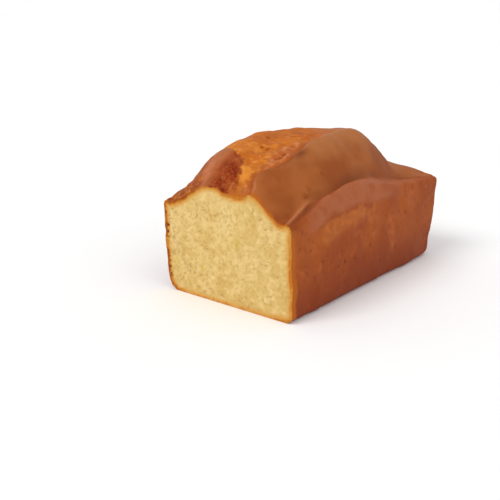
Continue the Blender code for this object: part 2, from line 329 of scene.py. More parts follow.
def swell(value, strength, centre, reach):
    return strength * math.exp(-(((value - centre) / reach) ** 2))


def spot(x, y, strength, centre_x, centre_y, reach_x, reach_y):
    return strength * math.exp(-((x - centre_x) / reach_x) ** 2 - ((y - centre_y) / reach_y) ** 2)


def grain(place, size, layer):
    """Random from about -1 to 1, in lumps of that size."""
    across, behind, height = place
    above = height / size + LAYER_RISE * layer
    return noise.noise(Vector((across / size + layer, behind / size - layer, above)))


def lumps(place, grains):
    return sum(strength * grain(place, size, layer) for strength, size, layer in grains)


def ridges(place, strength, size, layer):
    return strength * abs(grain(place, size, layer))


def dents(place, strength, size, layer, raised=0.0):
    """The upper parts of the grain only, over a level that is lowered by what is given as raised."""
    return strength * max(0.0, grain(place, size, layer) + raised)


def along(value, places, sizes):
    return float(np.interp(value, places, sizes))


def place_of(vert):
    """Across, behind and height of a vertex, in millimetres."""
    return (vert.co.x / MM - TIN_MIDDLE, vert.co.y / MM - CUT_AT, vert.co.z / MM)


# ---------------------------------------------------------------- the mesh

def on_cut(face):
    return all(vert.co.y / MM < CUT_AT + FLAT_ENOUGH for vert in face.verts)


def on_base(face):
    return all(vert.co.z / MM < FLAT_ENOUGH for vert in face.verts)


def on_detail(across, behind, height):
    """Whether a place is beside the cut, round the crack or along the fold's lip."""
    near_crack = CRACK_DETAIL_ACROSS[0] < across < CRACK_DETAIL_ACROSS[1]
    by_crack = near_crack and height > CRACK_DETAIL_ABOVE and behind < CRACK_DETAIL_LENGTH
    near_fold = abs(fold_offset(across, behind)) < LIP_DETAIL_REACH
    by_lip = near_fold and height > LIP_DETAIL_ABOVE and behind < LIP_DETAIL_LENGTH
    return behind < DETAIL_BESIDE_CUT or by_crack or by_lip


def is_flat(face):
    return on_cut(face) or on_base(face)


def longest_on(face):
    if on_cut(face):
        return LONGEST_ON_CUT
    if on_base(face):
        return LONGEST_ON_BASE
    return LONGEST_ON_DETAIL if on_detail(*place_of(face.verts[0])) else LONGEST_ON_CRUST


def longest_allowed(edge):
    return min(longest_on(face) for face in edge.link_faces)


def refine(shape):
    for _ in range(REFINING_ROUNDS):
        long_edges = [edge for edge in shape.edges if edge.calc_length() / MM > longest_allowed(edge)]
        if not long_edges:
            break
        bmesh.ops.subdivide_edges(shape, edges=long_edges, cuts=1)
        bmesh.ops.triangulate(shape, faces=[face for face in shape.faces if len(face.verts) > 3],
                              quad_method="BEAUTY", ngon_method="BEAUTY")


def fine_loaf():
    """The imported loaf, merged, refined and smoothed, with its cut and base still flat."""
    shape = bmesh.new()
    shape.from_mesh(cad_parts["loaf"].data)
    bmesh.ops.remove_doubles(shape, verts=shape.verts, dist=MERGE_WITHIN * MM)
    refine(shape)
    free = [vert for vert in shape.verts if not any(is_flat(face) for face in vert.link_faces)]
    for _ in range(SMOOTHING_ROUNDS):
        bmesh.ops.smooth_vert(shape, verts=free, factor=SMOOTHING_FACTOR,
                              use_axis_x=True, use_axis_y=True, use_axis_z=True)
    shape.normal_update()
    return shape


# ---------------------------------------------------------------- where each finish lies

def from_crack_left(across, behind):
    return across - along(behind, CRACK_LEFT_BEHIND, CRACK_LEFT_EDGE)


def from_crack_right(across, behind):
    return across - along(behind, CRACK_RIGHT_BEHIND, CRACK_RIGHT_EDGE)


def from_plate_edge(across, behind):
    return across - along(behind, PLATE_EDGE_BEHIND, PLATE_EDGE)


def fold_offset(across, behind):
    """How far right of the fold a place lies."""
    return across - along(behind, FOLD_BEHIND, FOLD_LINE)


def golden_share(across, behind):
    """How much a place lies in the torn golden crack."""
    past_left = ease(from_crack_left(across, behind), *CRACK_LEFT_FADE)
    before_right = fall(from_crack_right(across, behind), *CRACK_RIGHT_FADE)
    return past_left * before_right * fall(behind, *CRACK_END_FADE)


def bank_share(across, behind):
    """How much a place lies on the pale bank between the crack and the right plate."""
    past_crack = ease(from_crack_right(across, behind), *BANK_LEFT_FADE)
    before_plate = fall(from_plate_edge(across, behind), *BANK_RIGHT_FADE)
    return past_crack * before_plate * fall(behind, *PLATE_END_FADE)


def plate_step(across, behind):
    """The right plate's torn edge: raised just right of it, sunk just left of it."""
    offset = from_plate_edge(across, behind)
    standing = PLATE_EDGE_HEIGHT * ease(offset, *PLATE_EDGE_RISE) * fall(offset, *PLATE_EDGE_FALL)
    return (standing - swell(offset, *SUNK_BY_PLATE)) * fall(behind, *PLATE_END_FADE)


def under_plate(across, behind):
    """The dark line in the shadow of the right plate's torn edge, and the hollow it ends in."""
    darkness = PLATE_SHADOW_LEAST + PLATE_SHADOW_MORE * ease(behind, *PLATE_SHADOW_DARKENS)
    line = swell(from_plate_edge(across, behind), *PLATE_SHADOW_LINE) * fall(behind, *PLATE_END_FADE)
    return max(darkness * line, spot(across, behind, *PLATE_HOLLOW))


def lobe_share(across, behind):
    """How much a place lies on the dark red-brown lobes at the left front of the crown."""
    before_crack = fall(from_crack_left(across, behind), *LOBE_RIGHT_FADE)
    inside = ease(across, *LOBE_LEFT_FADE) * before_crack * fall(behind, *LOBE_END_FADE)
    return max(inside, spot(across, behind, *LOBE_BY_CUT))


def ember_share(across, behind):
    """How much a place lies on the darkest, reddest part of the lobes."""
    before_crack = fall(from_crack_left(across, behind), *LOBE_RIGHT_FADE)
    inside = EMBER_STRENGTH * ease(across, *EMBER_LEFT_FADE) * before_crack * fall(behind, *EMBER_END_FADE)
    return max(inside, *(spot(across, behind, *ember) for ember in EMBER_SPOTS))


def blush_and_highlight_share(across, behind):
    """How much a place is pinkish: pink colour on the outer lobes and the plate's edge, and painted
    highlights on the ridges of the dark ones.
    """
    spots = sum(spot(across, behind, *blush_and_highlight) for blush_and_highlight in BLUSH_AND_HIGHLIGHT_SPOTS)
    on_plate = swell(from_plate_edge(across, behind), *BLUSH_ON_PLATE) * fall(behind, *BLUSH_ON_PLATE_FADE)
    return min(spots + on_plate, 1.0)


def fold_step(across, behind):
    """Near the cut the plate lies over the shoulder, and further back the shoulder stands over a groove."""
    offset = fold_offset(across, behind)
    plate_lip = PLATE_LIP_HEIGHT * ease(offset, *PLATE_LIP_RISE) * fall(offset, *PLATE_LIP_FALL)
    plate_lip -= swell(offset, *PLATE_LIP_FOOT)
    groove = GROOVE_DEPTH * ease(offset, *GROOVE_LEFT) * fall(offset, *GROOVE_RIGHT)
    shoulder_lip = (swell(offset, *SHOULDER_LIP) - groove) * fall(behind, *SHOULDER_LIP_END_FADE)
    turned = ease(behind, *FOLD_TURN)
    far_crease = swell(offset, *FAR_CREASE) * ease(behind, *FAR_CREASE_FADE)
    return (1 - turned) * plate_lip + turned * shoulder_lip - far_crease


def fold_shadow(across, behind):
    """The darkness of the fold: under the plate's lip near the cut, and in the groove further back."""
    offset = fold_offset(across, behind)
    near = FOLD_SHADOW * ease(offset, *LIP_SHADOW_LEFT) * fall(offset, *LIP_SHADOW_RIGHT)
    groove = FOLD_SHADOW * ease(offset, *GROOVE_SHADOW_LEFT) * fall(offset, *GROOVE_SHADOW_RIGHT)
    groove *= fall(behind, *GROOVE_SHADOW_END_FADE)
    turned = ease(behind, *FOLD_TURN)
    far = swell(offset, *FAR_CREASE_SHADOW) * ease(behind, *FAR_CREASE_FADE)
    return (1 - turned) * near + turned * groove + far


def lip_highlight_share(across, behind):
    """Painted highlight along the edge of the plate where it lies over the shoulder."""
    pale = swell(fold_offset(across, behind), *LIP_HIGHLIGHT)
    return pale * ease(behind, *LIP_HIGHLIGHT_START_FADE) * fall(behind, *LIP_HIGHLIGHT_END_FADE)


def patch_share(behind, height):
    """How much a place lies within the orange smear's outline on the right side wall."""
    over_lower = ease(height - along(behind, PATCH_LOWER_BEHIND, PATCH_LOWER_EDGE), *PATCH_LOWER_FADE)
    under_upper = fall(height - along(behind, PATCH_UPPER_BEHIND, PATCH_UPPER_EDGE), *PATCH_UPPER_FADE)
    return over_lower * under_upper * ease(behind, *PATCH_START_FADE) * fall(behind, *PATCH_END_FADE)


def shoulder_sheen_share(across, behind, height):
    """How much a place lies on the band of the right shoulder between the fold and the smear, which is
    painted paler as a sheen.
    """
    over_lower = ease(height - along(behind, SHOULDER_BEHIND, SHOULDER_LOWER_EDGE), *SHOULDER_LOWER_FADE)
    inside = over_lower * ease(fold_offset(across, behind), *SHOULDER_FOLD_FADE)
    return inside * ease(behind, *SHOULDER_START_FADE) * fall(behind, *SHOULDER_END_FADE)


def near_cut_share(across, behind, right):
    """How much the crust beside the cut is orange: wider on the right wall, faint on the left."""
    beside = max(fall(behind, *BESIDE_CUT_FADE), right * fall(behind, *BESIDE_CUT_ON_WALL_FADE))
    return beside * (1 - BESIDE_CUT_FAINTNESS * ease(-across, *FAINT_TO_LEFT))


def torn_share(across, behind):
    """How much the crust at the cut's upper left is torn and crumbly."""
    return ease(-across, *TORN_TO_LEFT) * fall(behind, *TORN_END_FADE)


def is_top(normal):
    return ease(normal.z, *TOP_SLOPE)


# ---------------------------------------------------------------- relief

def settling(behind, height):
    """How far the far end's slope and shelf have sunk straight down, in millimetres."""
    slope = swell(behind, *FAR_SLOPE_SINKS) * ease(height, *FAR_SLOPE_ABOVE)
    return slope + SHELF_SINKS * ease(behind, *SHELF_FADE) * ease(height, *SHELF_ABOVE)


def crack_relief(place, golden, bank):
    """The crumbs in the crack and the lumps on its bank."""
    crumb_height = CRACK_CRUMBS_LEAST + (1 - CRACK_CRUMBS_LEAST) * ease(place[0], *CRACK_CRUMBS_FADE)
    crumbs = golden * crumb_height * (lumps(place, CRACK_CRUMBS) - CRACK_CRUMBS_SUNK)
    return crumbs + bank * (lumps(place, BANK_LUMPS) - BANK_SUNK)


def lobe_relief(place, lobes, lumpy):
    """The lobes' ridges and lumps, and the smaller ones that the torn crust shares with them."""
    large = ridges(place, *LOBE_RIDGES) + lumps(place, LOBE_LUMPS) - LOBE_SUNK
    small = ridges(place, *SMALL_RIDGES) + lumps(place, SMALL_LUMPS) - SMALL_LUMPS_SUNK
    return lobes * large + lumpy * small


def wall_relief(place):
    """The side walls' pebbly skin, the foot drawn in at the far end, the smear and the pinholes."""
    across, behind, height = place
    out = lumps(place, WALL_PEBBLES) - dents(place, *WALL_PITS, raised=-WALL_PITS_OVER)
    out -= swell(height, *FOOT_DRAWN_IN) * ease(behind, *FOOT_FADE)
    if across > 0:
        out -= sum(spot(behind, height, MARK_DEPTH, *mark, mark[-1]) for mark in MARKS_ON_SIDE)
        out += PATCH_HEIGHT * patch_share(behind, height)
    return out


def relief_by_cut(place):
    """What the knife tore off: bites out of the left crust and nicks all round."""
    across, behind, height = place
    upper = BITES_LEAST + (1 - BITES_LEAST) * ease(height, *BITES_ABOVE)
    torn = upper * fall(behind, *BITES_END_FADE) * ease(-across, *BITES_TO_LEFT)
    long_place = (across, behind * BITES_LENGTH, height)
    bites = torn * (dents(long_place, *BITES, raised=BITES_UNDER) + BITES_ALL)
    return -bites - dents(place, *NICKS) * fall(behind, *NICKS_FADE)


def crust_relief(place, normal):
    """How far the crust's surface stands out of the smooth loaf, in millimetres."""
    across, behind, _ = place
    top = is_top(normal)
    lobes = lobe_share(across, behind) * top
    lumpy = max(lobes, top * blush_and_highlight_share(across, behind), top * torn_share(across, behind))
    out = lumps(place, ALL_CRUST) + (1 - top) * wall_relief(place) + relief_by_cut(place)
    out += crack_relief(place, golden_share(across, behind) * top, bank_share(across, behind) * top)
    out += lobe_relief(place, lobes, lumpy)
    out += top * (plate_step(across, behind) + fold_step(across, behind) * ease(across, *FOLD_ACROSS_FADE))
    return out - top * sum(spot(across, behind, PIT_DEPTH, *pit, pit[-1]) for pit in PITS_ON_CREST)


# ---------------------------------------------------------------- the cut face

def band_reach(across, height):
    """How far the golden-orange band under the crust reaches into the cut, in millimetres."""
    thinning = 1 - BAND_RIGHT_THINS * ease(height, *BAND_RIGHT_THINS_ABOVE)
    right = BAND_RIGHT * ease(across, *BAND_RIGHT_FADE) * thinning
    dip = swell(across, *BAND_IN_DIP) * ease(height, *BAND_IN_DIP_ABOVE)
    upper_left = swell(across, *BAND_UPPER_LEFT) * ease(height, *BAND_UPPER_LEFT_ABOVE)
    return BAND_LEAST + right + dip + upper_left + BAND_LEFT * ease(-across, *BAND_LEFT_FADE)


def crumb_shade_share(across, height):
    """How much painted shade darkens the crumb toward the cut's right side and its foot."""
    return min(DIM_RIGHT * ease(across, *DIM_RIGHT_FADE) + DIM_LOW * fall(height, *DIM_LOW_FADE), 1.0)


def fruit_share(across, height):
    """How much a place on the cut is a fleck of greenish-yellow fruit."""
    return min(sum(spot(across, height, *fleck) for fleck in FRUIT_FLECKS), 1.0)


def strand(draw):
    """Length, width and depth of a long faint pore."""
    return draw.uniform(*STRAND_LENGTHS), draw.uniform(*STRAND_WIDTHS), draw.uniform(*STRAND_DEPTHS)


def round_pore(draw):
    """Length, width and depth of a round pore. Most are small."""
    size = draw.random() ** 3
    depth = draw.uniform(*ROUND_DEPTHS) + ROUND_DEPTH_MORE * size
    return ROUND_LENGTH + ROUND_LENGTH_MORE * size, ROUND_WIDTH + ROUND_WIDTH_MORE * size, depth


def crowding(across, height):
    """The chance that a pore is made at a place on the cut."""
    low = CROWD_LOW * (1 - height / CROWD_LOW_UNDER)
    return CROWD_LEAST + lumps((across, 0, height), CROWD_PATCHES) + low + spot(across, height, *CROWD_LEFT)


def drawn_pores():
    """Every pore of the cut: across, height, lean, length, width and depth."""
    draw = random.Random(PORE_SEED)
    pores = []
    for _ in range(PORE_COUNT):
        across = draw.uniform(*PORE_ACROSS)
        height = draw.uniform(*PORE_HEIGHTS)
        lean = PORE_LEAN + lumps((across, 0, height), PORE_SWIRLS) + draw.gauss(0, PORE_LEAN_SPREAD)
        length, width, depth = strand(draw) if draw.random() < STRAND_SHARE else round_pore(draw)
        if draw.random() < crowding(across, height):
            pores.append((across, height, lean, length, width, depth))
    for height in range(*BUBBLE_HEIGHTS):
        across = along(height, LEFT_RIM_HEIGHTS, LEFT_RIM) + draw.uniform(*BUBBLE_INSETS)
        bubble_height = height + draw.uniform(*BUBBLE_HEIGHT_SPREAD)
        length = draw.uniform(*BUBBLE_LENGTHS)
        width = draw.uniform(*BUBBLE_WIDTHS)
        pores.append((across, bubble_height, 0.0, length, width, draw.uniform(*BUBBLE_DEPTHS)))
    return pores


def nearest_among(verts):
    tree = kdtree.KDTree(len(verts))
    for index, vert in enumerate(verts):
        tree.insert(vert.co, index)
    tree.balance()
    return tree


def pore_depths(crumb):
    """How deep a pore is at each vertex of the cut that one reaches, from 0 for none to about 1."""
    nearest_crumb = nearest_among(crumb)
    depths = {}
    for across, height, lean, length, width, depth in drawn_pores():
        middle = Vector(((across + TIN_MIDDLE) * MM, CUT_AT * MM, height * MM))
        for place, index, _ in nearest_crumb.find_range(middle, PORE_FAR_REACH * length * MM):
            aside = (place.x - middle.x) / MM
            above = (place.z - middle.z) / MM
            lengthways = (aside * math.sin(lean) + above * math.cos(lean)) / length
            sideways = (aside * math.cos(lean) - above * math.sin(lean)) / width
            value = depth * math.exp(-(lengthways ** 2 + sideways ** 2))
            depths[crumb[index]] = max(depths.get(crumb[index], 0.0), value)
    return depths


# ---------------------------------------------------------------- shaping

def crust_moves(shape, cut_faces, base_faces, crumb):
    """How each vertex of the crust moves, and its relief in millimetres. The base stays where it is."""
    in_crumb = set(crumb)
    moves = {}
    reliefs = {}
    for vert in shape.verts:
        faces = vert.link_faces
        if vert in in_crumb or any(face in base_faces for face in faces):
            continue
        outward = vert.normal
        if any(face in cut_faces for face in faces):
            outward = sum((face.normal for face in faces if face not in cut_faces), Vector())
            outward.y = 0
            outward.normalize()
        place = place_of(vert)
        reliefs[vert] = crust_relief(place, outward)
        moves[vert] = outward * reliefs[vert] * MM
        moves[vert].z -= settling(place[1], place[2]) * MM
    return moves, reliefs


def even_rim(moves, rim, nearest_rim):
    """Makes each vertex of the cut's rim move as its neighbours there do on average."""
    for _ in range(RIM_SMOOTHING_ROUNDS):
        wild_moves = dict(moves)
        for vert in rim:
            if vert in moves:
                close = [rim[index] for _, index, _ in nearest_rim.find_n(vert.co, RIM_NEIGHBOURS)]
                moves[vert] = sum((wild_moves.get(other, Vector()) for other in close), Vector()) / len(close)


def pull_crumb(moves, crumb, rim, nearest_rim):
    """Makes the crumb near the rim move with it, and gives how far each of its vertices is from the rim."""
    from_rim = {}
    for vert in crumb:
        found = nearest_rim.find_n(vert.co, RIM_NEIGHBOURS)
        from_rim[vert] = found[0][2] / MM
        pull = Vector()
        weights = 0.0
        for _, index, distance in found:
            weight = 1 / (distance / MM + RIM_NEARNESS) ** 2
            pull += moves.get(rim[index], Vector()) * weight
            weights += weight
        moves[vert] = pull / weights * fall(from_rim[vert], 0, RIM_PULL)
    return from_rim


def crumb_shares(across, height, from_crust, pore):
    """What the crumb's finish reads at a place on the cut."""
    return {"from_crust": from_crust, "pore": pore, "band": band_reach(across, height),
            "dry_rim": min(ease(-across, *SKIN_TO_LEFT) + fall(height, *SKIN_ABOVE_BASE), 1.0),
            "fruit": fruit_share(across, height), "crumb_shade": crumb_shade_share(across, height)}


def crust_shadow(place, top):
    """The darkness under the plate's edge, in the fold, in the pits and in the pinholes."""
    across, behind, height = place
    shadow = top * under_plate(across, behind)
    by_fold = ease(across, *FOLD_ACROSS_FADE) * ease(height, *FOLD_SHADOW_HEIGHT_FADE)
    shadow += fold_shadow(across, behind) * by_fold
    shadow += top * sum(spot(across, behind, 1.0, *pit, pit[-1]) for pit in PITS_ON_CREST)
    if across > 0:
        marks = sum(spot(behind, height, MARK_DARKNESS, *mark, mark[-1]) for mark in MARKS_ON_SIDE)
        shadow += (1 - top) * marks
    return min(shadow, 1.0)


def crust_shares(place, normal, relief):
    """What the crust's finish reads at a place on the crust."""
    across, behind, height = place
    top = is_top(normal)
    right = 1 - top if across > 0 else 0.0
    return {"relief": relief, "height": height,
            "top": top * fall(fold_offset(across, behind), *PLATE_RIGHT_FADE),
            "golden": golden_share(across, behind) * top,
            "orange": along(behind, ORANGE_BEHIND, ORANGE_SHARES),
            "bank": bank_share(across, behind) * top,
            "lobe": lobe_share(across, behind) * top,
            "ember": ember_share(across, behind) * top,
            "blush_and_highlight": blush_and_highlight_share(across, behind) * top,
            "lip": lip_highlight_share(across, behind),
            "near_cut": near_cut_share(across, behind, right),
            "torn": torn_share(across, behind) * ease(height, *TORN_ABOVE),
            "patch": patch_share(behind, height) * right,
            "shoulder": shoulder_sheen_share(across, behind, height),
            "shadow": crust_shadow(place, top)}


def keep_in_box(shape):
    """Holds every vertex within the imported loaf's box."""
    for vert in shape.verts:
        for axis in range(3):
            vert.co[axis] = min(max(vert.co[axis], CAD_BOX[0][axis]), CAD_BOX[1][axis])


def shape_loaf(shape):
    """Moves the surface by its relief and stores where each finish lies."""
    for name in SHARES:
        shape.verts.layers.float.new(name)
    kept = {name: shape.verts.layers.float[name] for name in SHARES}
    cut_faces = {face for face in shape.faces if on_cut(face)}
    base_faces = {face for face in shape.faces if on_base(face)}
    crumb = [vert for vert in shape.verts if all(face in cut_faces for face in vert.link_faces)]
    by_cut = [vert for vert in shape.verts if any(face in cut_faces for face in vert.link_faces)]
    rim = [vert for vert in by_cut if any(face not in cut_faces for face in vert.link_faces)]
    nearest_rim = nearest_among(rim)
    moves, reliefs = crust_moves(shape, cut_faces, base_faces, crumb)
    even_rim(moves, rim, nearest_rim)
    from_rim = pull_crumb(moves, crumb, rim, nearest_rim)
    for vert, move in moves.items():
        vert.co += move
    for _ in range(CUT_SMOOTHING_ROUNDS):
        bmesh.ops.smooth_vert(shape, verts=crumb, factor=SMOOTHING_FACTOR, use_axis_x=True, use_axis_z=True)
    pores = pore_depths(crumb)
    for vert in shape.verts:
        place = place_of(vert)
        if vert in from_rim:
            pore = min(pores.get(vert, 0.0), 1.0)
            shares = crumb_shares(place[0], place[2], from_rim[vert], pore)
            waves = CUT_SUNK + dents(place, *CUT_WAVES)
            sunk = waves * ease(from_rim[vert], *CUT_WAVES_FADE)
            vert.co.y += (PORE_DEPTH * pore * ease(from_rim[vert], *PORE_RIM_FADE) + sunk) * MM
        else:
            shares = crust_shares(place, vert.normal, reliefs.get(vert, 0.0))
        for name, share in shares.items():
            vert[kept[name]] = share
    shape.normal_update()
    keep_in_box(shape)
    for face in shape.faces:
        face.smooth = True
        face.material_index = 1 if face in cut_faces else 0


# ---------------------------------------------------------------- finishes

def shade(red, green, blue):
    """A colour given as it is seen, made the linear one that a shader takes."""
    def linear(part):
        part /= 255
        return part / 12.92 if part <= 0.04045 else ((part + 0.055) / 1.055) ** 2.4
    return (linear(red), linear(green), linear(blue), 1.0)


WALL_BROWN, WALL_DEEP = shade(163, 82, 30), shade(150, 70, 28)
WALL_SPECKS, WALL_LIGHT, WALL_LOW = shade(138, 62, 24), shade(174, 90, 40), shade(130, 55, 26)
PLATE_BROWN, PLATE_LIGHT = shade(146, 74, 29), shade(162, 91, 42)
# The second colour here is the crown's plate colour with painted light from above.
PLATE_DARK, PLATE_CROWN_LIT = shade(138, 68, 28), shade(170, 103, 54)
# Painted highlight colour for the plate's lip over the shoulder.
# Painted sheen on the band of the right shoulder.
# Pink of the outer lobes and the plate's edge, also used as painted highlights on the dark lobes' ridges.
SHOULDER_SHEEN, LIP_HIGHLIGHT_TAN, BLUSH_PINK_AND_HIGHLIGHT = shade(166, 94, 58), shade(190, 116, 76), shade(184, 108, 70)
PATCH_BROWN, PATCH_ORANGE = shade(166, 88, 36), shade(186, 101, 42)
LOBE_BROWN, LOBE_TAN = shade(157, 74, 30), shade(190, 106, 54)
EMBER_RED, EMBER_RUST = shade(122, 38, 4), shade(156, 68, 22)
BANK_BROWN, BANK_PALE = shade(172, 88, 34), shade(208, 130, 76)
# The last colour here is a painted highlight scattered over the crack's crumbs.
GOLD_DARK, GOLD, GOLD_HIGHLIGHT = shade(186, 100, 26), shade(220, 140, 54), shade(228, 150, 78)
AMBER_DARK, AMBER = shade(172, 82, 12), shade(200, 113, 26)
CUT_EDGE_ORANGE, TORN_DARK, TORN_TAN = shade(176, 92, 20), shade(138, 62, 14), shade(190, 112, 48)
SHADOW_BROWN, FLECK_BROWN = shade(104, 44, 12), shade(120, 56, 22)

CRUMB_YELLOW, CRUMB_PALE = shade(212, 178, 108), shade(222, 192, 128)
# The second colour here is the crumb in painted shade, toward the cut's right side and its foot.
CRUMB_GRAIN, CRUMB_SHADE, CRUMB_LIGHT = shade(196, 160, 92), shade(198, 162, 90), shade(226, 197, 134)
# The first colour here is painted shade in the cut's pores.
PORE_SHADE, FRUIT_GREEN = shade(166, 126, 66), shade(196, 172, 56)
BAND_GOLD, BAND_BAKED = shade(206, 146, 66), shade(184, 110, 34)
SKIN_BROWN, BUBBLE_BROWN = shade(146, 72, 20), shade(114, 56, 20)
FLOOR_PALE = (0.95, 0.95, 0.95, 1)

CRUST_ROUGHNESS, CRUMB_ROUGHNESS, FLOOR_ROUGHNESS = 0.6, 0.85, 0.9
SHINE = 0.1
# The fine grain of each surface: its strength, and its depth in millimetres.
CRUST_GRAIN = (0.25, 0.4)
CUT_GRAIN = (0.3, 0.5)

# Random textures: the size of their blotches in millimetres, their detail and their roughness.
CRUST_BROAD = (30, 2.0, 0.5)
CRUST_MIDDLING = (10, 3.0, 0.55)
CRUST_SMALL = (4.5, 3.0, 0.6)
CRUST_FINE = (1.8, 2.0, 0.6)
CRUST_FINEST = (0.9, 1.0, 0.5)
CRUMB_BROAD = (18, 2.0, 0.5)
CRUMB_MIDDLING = (5, 2.0, 0.6)
CRUMB_FINE = (2.4, 3.0, 0.6)
HALF = 0.5
# How ragged and how soft the edge of each finish is.
RAGGED_EDGES = {"patch": (1.2, 0.5), "blush_and_highlight": (0.9, 0.5), "ember": (2.4, 0.6), "lobe": (2.0, 0.5),
                "bank": (0.9, 0.45), "golden": (3.4, 0.45), "near_cut": (2.0, 0.5), "torn": (1.6, 0.5)}
PRESENT = (0.02, 0.25)
# Where each mix of colours starts and ends on its random texture.
EVEN_MIX = (0.36, 0.64)
WALL_SPECKS_MIX = (0.52, 0.76)
WALL_LIGHT_MIX = (0.54, 0.74)
WALL_LOW_MIX = (56, 8)
WALL_LOW_RAGGED = 24
PLATE_DARK_MIX = (0.55, 0.75)
# Painted light: the plates are painted paler high on the crown.
PLATE_CROWN_LIT_MIX = (96, 112)
PLATE_CROWN_LIT_RAGGED = 16
SHOULDER_SHEEN_MIX = (0.1, 0.55)
LIP_HIGHLIGHT_STRENGTH = 0.75
PATCH_MIX = (0.36, 0.72)
LOBE_MIX = (0.32, 0.85)
EMBER_MIX = (0.38, 0.66)
BANK_MIX = (0.32, 0.8)
CRACK_MIX = (0.32, 0.74)
GOLD_HIGHLIGHT_MIX = (0.54, 0.78)
AMBER_MIX = (0.6, 1.6)
AMBER_RAGGED = 1.1
TORN_MIX = (0.4, 0.64)
FLECKS_MIX = (0.64, 0.8)
FLECKS_WHERE = (0.45, 0.7)
# How much the raised places count in those mixes, which paints raised places lighter and low ones darker as
# painted light and shade.
RAISED_ON_LOBE, RAISED_ON_EMBER, RAISED_ON_BANK, RAISED_IN_CRACK = 0.2, 0.06, 0.16, 0.12
CRUMB_MIX = (0.35, 0.65)
CRUMB_GRAIN_MIX = (0.3, 0.56)
CRUMB_LIGHT_MIX = (0.42, 0.8)
PORE_SHADE_MIX = (0.0, 1.0)
CRUMB_SHADE_STRENGTH = 0.6
# The band's depths under the crust, in millimetres: golden, baked and skin, and the bubbles in it.
BAND_RAGGED = 3.2
BAND_GOLD_DEPTH = (2.4, -1.8)
BAND_BAKED_DEPTH = (-0.6, -2.8)
SKIN_DEPTH = (-2.0, -3.8)
BUBBLE_MIX = (0.25, 0.9)


def add(material, kind, **settings):
    made = material.node_tree.nodes.new(kind)
    for name, value in settings.items():
        setattr(made, name, value)
    return made


def feed(material, socket, value):
    if isinstance(value, bpy.types.NodeSocket):
        material.node_tree.links.new(value, socket)
    else:
        socket.default_value = value


def stored(material, name):
    return add(material, "ShaderNodeAttribute", attribute_name=name).outputs["Fac"]


def blotches(material, size, detail, roughness):
    """Soft random blotches of about that size in millimetres."""
    texture = add(material, "ShaderNodeTexNoise")
    feed(material, texture.inputs["Vector"], add(material, "ShaderNodeTexCoord").outputs["Object"])
    texture.inputs["Scale"].default_value = 1 / (size * MM)
    texture.inputs["Detail"].default_value = detail
    texture.inputs["Roughness"].default_value = roughness
    return texture.outputs["Fac"]


def between(material, value, start, end):
    """0 before start, 1 past end, and a soft step between them."""
    step = add(material, "ShaderNodeMapRange", interpolation_type="SMOOTHSTEP")
    feed(material, step.inputs["Value"], value)
    step.inputs["From Min"].default_value = start
    step.inputs["From Max"].default_value = end
    return step.outputs["Result"]


def sum_of(material, first, second, scale=1.0):
    """first + second * scale."""
    made = add(material, "ShaderNodeMath", operation="MULTIPLY_ADD")
    feed(material, made.inputs[0], second)
    made.inputs[1].default_value = scale
    feed(material, made.inputs[2], first)
    return made.outputs["Value"]


def times(material, first, second):
    made = add(material, "ShaderNodeMath", operation="MULTIPLY")
    feed(material, made.inputs[0], first)
    feed(material, made.inputs[1], second)
    return made.outputs["Value"]


def blend(material, share, first, second):
    """The first colour where the share is 0, and the second where it is 1."""
    made = add(material, "ShaderNodeMix", data_type="RGBA")
    feed(material, made.inputs["Factor"], share)
    feed(material, made.inputs[6], first)
    feed(material, made.inputs[7], second)
    return made.outputs[2]


def mottled(material, texture, mix, first, second):
    """Two colours mixed by a random texture."""
    return blend(material, between(material, texture, *mix), first, second)


def ragged(material, name, texture):
    """A stored share with its edge broken up by the texture, and nothing where the share is nothing."""
    amount, softness = RAGGED_EDGES[name]
    share = stored(material, name)
    middle = HALF * amount + HALF
    broken = between(material, sum_of(material, share, texture, amount), middle - softness, middle + softness)
    return times(material, broken, between(material, share, *PRESENT))


def grainy(material, shader, height, strength, depth):
    """Fine grain on a surface, of that depth in millimetres."""
    bump = add(material, "ShaderNodeBump")
    bump.inputs["Strength"].default_value = strength
    bump.inputs["Distance"].default_value = depth * MM
    feed(material, bump.inputs["Height"], height)
    feed(material, shader.inputs["Normal"], bump.outputs["Normal"])


def surface(name, roughness):
    material = bpy.data.materials.new(name)
    material.use_nodes = True
    shader = material.node_tree.nodes["Principled BSDF"]
    shader.inputs["Roughness"].default_value = roughness
    shader.inputs["Specular IOR Level"].default_value = SHINE
    return material, shader


def wall_colour(material, broad, middling, small, height):
    """Brown walls, mottled, and darker near the base."""
    colour = mottled(material, broad, EVEN_MIX, WALL_BROWN, WALL_DEEP)
    colour = mottled(material, small, WALL_SPECKS_MIX, colour, WALL_SPECKS)
    colour = mottled(material, middling, WALL_LIGHT_MIX, colour, WALL_LIGHT)
    low = sum_of(material, height, middling, WALL_LOW_RAGGED)
    return mottled(material, low, WALL_LOW_MIX, colour, WALL_LOW)


def plate_colour(material, broad, middling, height):
    """The smooth brown plates of the top, painted paler on the crown as light falling from above."""
    colour = mottled(material, broad, EVEN_MIX, PLATE_BROWN, PLATE_LIGHT)
    colour = mottled(material, middling, PLATE_DARK_MIX, colour, PLATE_DARK)
    crown = sum_of(material, height, middling, PLATE_CROWN_LIT_RAGGED)
    return mottled(material, crown, PLATE_CROWN_LIT_MIX, colour, PLATE_CROWN_LIT)


def lobe_colour(material, uneven, small, fine, relief):
    """The red-brown lobes, with painted light making their ridges lighter, and darkest in the ember."""
    raised = sum_of(material, small, relief, RAISED_ON_LOBE)
    colour = mottled(material, raised, LOBE_MIX, LOBE_BROWN, LOBE_TAN)
    glowing = sum_of(material, fine, relief, RAISED_ON_EMBER)
    darkest = mottled(material, glowing, EMBER_MIX, EMBER_RED, EMBER_RUST)
    return blend(material, ragged(material, "ember", uneven), colour, darkest)


